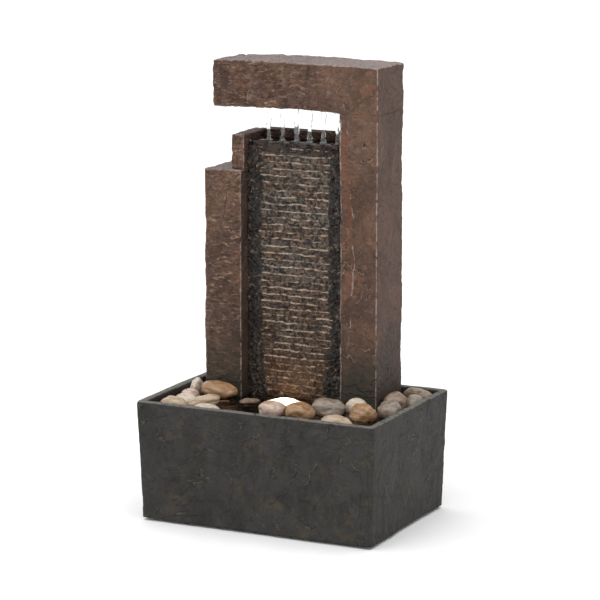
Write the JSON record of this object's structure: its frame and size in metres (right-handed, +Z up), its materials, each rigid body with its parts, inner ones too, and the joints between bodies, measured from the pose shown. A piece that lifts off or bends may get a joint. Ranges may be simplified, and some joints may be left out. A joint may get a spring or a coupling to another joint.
{
  "type": "tabletop water fountain",
  "caption": "Tabletop water fountain: battered slate-look basin with pebbles, hollow tower, overhanging beam with falling streams, ribbed cascade and lit pool.",
  "frame": {"origin": "middle of the plane that the four rubber feet rest on", "axes": "+Z up, the cascade's face towards -Y, +X to the viewer's right"},
  "size_m": [0.254, 0.18, 0.448],
  "materials": {
    "basin_slate": "cast resin with a charcoal slate texture, olive and rust blotches and a paler rim",
    "rust_slate": "cast resin with a chiselled slate texture, brown with rust patches, darker towards its foot",
    "rust_slate_back": "cast resin, flatter and darker than the front",
    "wet_rock": "cast resin rock under a film of running water",
    "black_plastic": "moulded satin black",
    "pump_plastic": "moulded matte black with a fine grain",
    "dial_plastic": "moulded orange",
    "impeller_plastic": "moulded white",
    "rubber": "matte black rubber",
    "lead_rubber": "black sheath with a soft sheen",
    "steel": "plated steel",
    "lamination": "stacked sheet iron",
    "copper_wire": "enamelled winding",
    "magnet": "sintered ferrite",
    "ceramic": "polished ceramic",
    "clear_tube": "clear flexible tube",
    "lens_glass": "clear domed lens; the water's surfaces use it too",
    "bulb_glass": "warm lit capsule",
    "reflector": "polished",
    "pebble_tan": "polished wet river stone, tan",
    "pebble_cream": "polished wet river stone, cream",
    "pebble_pink": "polished wet river stone, pinkish beige",
    "pebble_orange": "polished wet river stone, ochre",
    "pebble_grey": "polished wet river stone, speckled grey",
    "pebble_brown": "polished wet river stone, brown"
  },
  "bodies": {
    "root": {"basin": "basin_slate", "cord_grommet": "rubber", "feet": "rubber", "light_bulb": "bulb_glass", "light_housing": "black_plastic", "light_lead": "lead_rubber", "light_lens": "lens_glass", "light_reflector": "reflector", "light_ring": "black_plastic", "light_seal": "rubber", "pebble_01": "pebble_tan", "pebble_02": "pebble_cream", "pebble_03": "pebble_pink", "pebble_04": "pebble_cream", "pebble_05": "pebble_orange", "pebble_06": "pebble_tan", "pebble_07": "pebble_cream", "pebble_08": "pebble_brown", "pebble_09": "pebble_pink", "pebble_10": "pebble_orange", "pebble_11": "pebble_grey", "pebble_12": "pebble_tan", "pebble_13": "pebble_cream", "pebble_14": "pebble_orange", "pebble_15": "pebble_grey", "pebble_16": "pebble_brown", "pebble_17": "pebble_grey", "pebble_18": "pebble_brown", "pebble_19": "pebble_pink", "pebble_20": "pebble_tan", "pebble_21": "pebble_brown", "pebble_deck": "black_plastic", "pump_cups": "rubber", "pump_gasket": "rubber", "pump_grille": "pump_plastic", "pump_housing": "pump_plastic", "pump_screws": "steel", "pump_shaft": "ceramic", "pump_volute": "pump_plastic", "shaft_bushes": "rubber", "stator_coil": "copper_wire", "stator_core": "lamination"},
    "tower": {"column": "rust_slate", "beam": "rust_slate", "pillar": "rust_slate", "pillar_step": "rust_slate", "cascade_panel": "wet_rock", "trough": "wet_rock", "back_plate": "rust_slate_back", "back_screws": "steel", "riser_tube": "clear_tube", "hose_clips": "steel", "elbow": "black_plastic", "spray_bar": "black_plastic", "bar_cap": "black_plastic", "bar_clips": "black_plastic"},
    "rotor": {"impeller": "impeller_plastic", "rotor_magnet": "magnet"},
    "dial": {"flow_dial": "dial_plastic"}
  },
  "joints": [
    {"name": "tower_lift", "type": "slide", "parent": "root", "child": "tower", "axis": [0, 0, 1], "range_m": [0, 0.13]},
    {"name": "rotor_spin", "type": "hinge", "parent": "root", "child": "rotor", "pos_m": [0.0615, 0.049, 0.03], "axis": [0, 1, 0], "continuous": true},
    {"name": "flow_turn", "type": "hinge", "parent": "root", "child": "dial", "pos_m": [0.0615, 0.027, 0.03], "axis": [0, 1, 0], "range_deg": [0, 60]}
  ]
}
